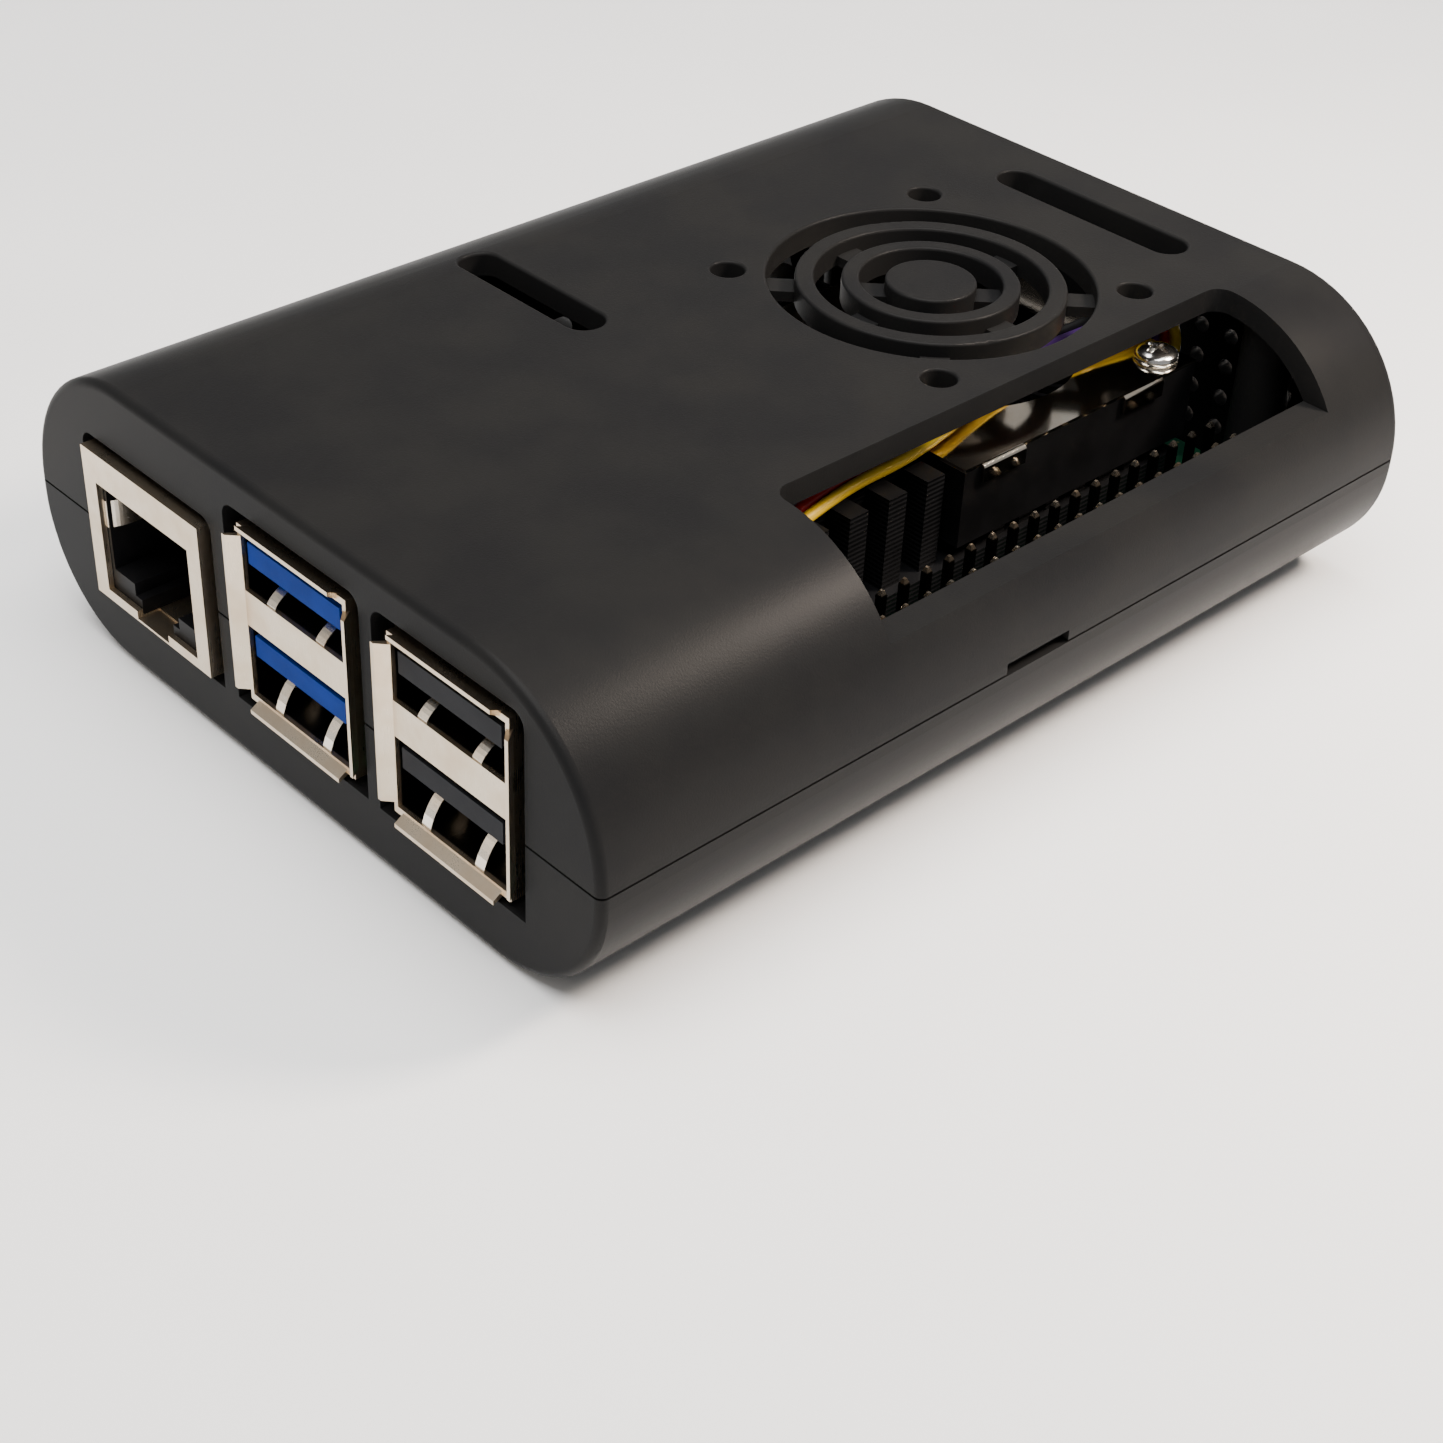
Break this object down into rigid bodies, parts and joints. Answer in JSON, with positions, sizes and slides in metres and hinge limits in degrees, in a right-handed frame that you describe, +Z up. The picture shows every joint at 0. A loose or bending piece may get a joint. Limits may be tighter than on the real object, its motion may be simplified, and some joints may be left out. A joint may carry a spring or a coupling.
{
  "type": "single board computer",
  "caption": "Single board computer in a two-piece rounded case, with a blower cooler, a slotted and grilled lid, a pin header window and end ports.",
  "frame": {"origin": "under the middle of the whole, on the surface that the case stands on", "axes": "+X along the case towards the network and USB ports, +Y towards the pin header, +Z up through the lid"},
  "size_m": [0.0908, 0.0694, 0.026],
  "materials": {
    "case_plastic": "satin charcoal-black moulded plastic with a fine grain",
    "foot_rubber": "black rubber",
    "board_mask": "green solder mask",
    "black_plastic": "black connector plastic",
    "white_plastic": "off-white connector plastic",
    "gold_pin": "gold-plated",
    "chip_black": "black moulded package",
    "lid_metal": "nickel lid",
    "can_metal": "tin-plated can",
    "light_lens": "clear lens",
    "small_part_body": "ceramic capacitor brown",
    "key_plastic": "translucent key",
    "shield_metal": "warm tin-plated shield",
    "usb3_plastic": "saturated blue insert",
    "usb2_plastic": "dark insert",
    "latch_plastic": "dark brown latch",
    "heatsink_black": "black anodised aluminium",
    "pad_rubber": "grey thermal pad",
    "fan_plastic": "black fan plastic",
    "plate_metal": "nickel-plated cover sheet",
    "magnet_metal": "bonded ferrite",
    "steel": "polished steel",
    "bearing_bronze": "sintered bronze",
    "winding_copper": "enamelled copper",
    "pin_plastic": "black moulded plastic",
    "spring_steel": "bright spring steel",
    "wire_yellow": "yellow insulation",
    "wire_black": "black insulation",
    "wire_purple": "purple insulation",
    "wire_red": "red insulation",
    "card_plastic": "black card"
  },
  "bodies": {
    "computer": {"bottom_shell": "case_plastic", "rubber_feet": "foot_rubber", "circuit_board": "board_mask", "gpio_header_base": "black_plastic", "gpio_pins": "gold_pin", "processor_chip": "chip_black", "processor_lid": "lid_metal", "memory_chip": "chip_black", "io_controller_chip": "chip_black", "power_chip": "chip_black", "wireless_can": "can_metal", "status_light": "light_lens", "power_switch_body": "can_metal", "small_parts": "small_part_body", "power_header": "black_plastic", "ethernet_shield": "shield_metal", "ethernet_insert": "black_plastic", "ethernet_contacts": "gold_pin", "usb3_shield": "shield_metal", "usb3_tongues": "usb3_plastic", "usb3_contacts": "gold_pin", "usb2_shield": "shield_metal", "usb2_tongues": "usb2_plastic", "usb2_contacts": "gold_pin", "usb_c_shell": "can_metal", "usb_c_tongue": "black_plastic", "micro_hdmi_shells": "can_metal", "micro_hdmi_tongues": "black_plastic", "camera_connectors": "white_plastic", "flat_cable_connector": "white_plastic", "fan_socket": "white_plastic", "clock_socket": "white_plastic", "debug_socket": "white_plastic", "card_socket": "can_metal", "heatsink": "heatsink_black", "thermal_pads": "pad_rubber", "fan_housing": "fan_plastic", "fan_bearing": "bearing_bronze", "fan_cover_plate": "plate_metal", "fan_screws": "steel", "fan_stator": "winding_copper", "pin_spring_left": "spring_steel", "pin_spring_right": "spring_steel", "fan_wire_yellow": "wire_yellow", "fan_wire_black": "wire_black", "fan_wire_purple": "wire_purple", "fan_wire_red": "wire_red", "fan_plug": "white_plastic"},
    "cover": {"top_cover": "case_plastic"},
    "key": {"power_key": "key_plastic", "power_switch_cap": "black_plastic"},
    "rotor": {"impeller": "fan_plastic", "rotor_magnet": "magnet_metal", "fan_shaft": "steel"},
    "left_pin": {"push_pin_left": "pin_plastic"},
    "right_pin": {"push_pin_right": "pin_plastic"},
    "card": {"memory_card": "card_plastic"},
    "near_latch": {"camera_latch_near": "latch_plastic"},
    "far_latch": {"camera_latch_far": "latch_plastic"},
    "flat_latch": {"flat_cable_latch": "latch_plastic"}
  },
  "joints": [
    {"name": "cover_lift", "type": "slide", "parent": "computer", "child": "cover", "axis": [0, 0, 1], "range_m": [0, 0.03]},
    {"name": "power_button_press", "type": "slide", "parent": "computer", "child": "key", "axis": [1, 0, 0], "range_m": [0, 0.00025], "stiffness_N_per_m": 400},
    {"name": "impeller_spin", "type": "hinge", "parent": "computer", "child": "rotor", "pos_m": [-0.01965, 0.006, 0.0137], "axis": [0, 0, 1], "continuous": true},
    {"name": "push_pin_left_press", "type": "slide", "parent": "computer", "child": "left_pin", "axis": [0, 0, -1], "range_m": [0, 0.0012], "stiffness_N_per_m": 1000, "deforming": ["pin_spring_left"]},
    {"name": "push_pin_right_press", "type": "slide", "parent": "computer", "child": "right_pin", "axis": [0, 0, -1], "range_m": [0, 0.0012], "stiffness_N_per_m": 1000, "deforming": ["pin_spring_right"]},
    {"name": "memory_card_slide", "type": "slide", "parent": "computer", "child": "card", "axis": [-1, 0, 0], "range_m": [0, 0.012]},
    {"name": "camera_latch_near_lift", "type": "slide", "parent": "computer", "child": "near_latch", "axis": [0, 0, 1], "range_m": [0, 0.0009]},
    {"name": "camera_latch_far_lift", "type": "slide", "parent": "computer", "child": "far_latch", "axis": [0, 0, 1], "range_m": [0, 0.0009]},
    {"name": "flat_cable_latch_lift", "type": "slide", "parent": "computer", "child": "flat_latch", "axis": [0, 0, 1], "range_m": [0, 0.0009]}
  ]
}
